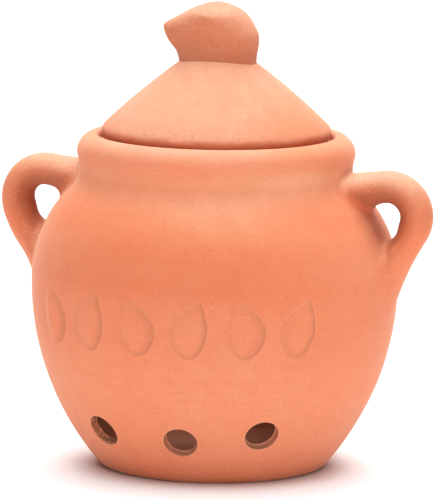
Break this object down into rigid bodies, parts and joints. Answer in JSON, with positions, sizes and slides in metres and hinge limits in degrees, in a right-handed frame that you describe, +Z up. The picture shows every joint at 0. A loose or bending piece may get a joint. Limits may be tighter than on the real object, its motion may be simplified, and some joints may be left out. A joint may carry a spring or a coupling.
{
  "type": "garlic keeper",
  "caption": "Unglazed terracotta keeper: round-bellied pot with ear handles, low air vents and a drop-in conical lid with a clove-shaped knob.",
  "frame": {"origin": "centre of the foot's underside, on the surface the keeper stands on", "axes": "+Z up; the handles lie along X; -Y is the front, where the raised decoration is"},
  "size_m": [0.1458, 0.1196, 0.1516],
  "materials": {
    "terracotta": "unglazed fired clay, matt, fine grained"
  },
  "bodies": {
    "pot": {"pot_body": "terracotta", "handle_left": "terracotta", "handle_right": "terracotta"},
    "lid": {"lid": "terracotta", "lid_knob": "terracotta"}
  },
  "joints": [
    {"name": "lid_lift", "type": "slide", "parent": "pot", "child": "lid", "axis": [0, 0, 1], "range_m": [0, 0.12]}
  ]
}
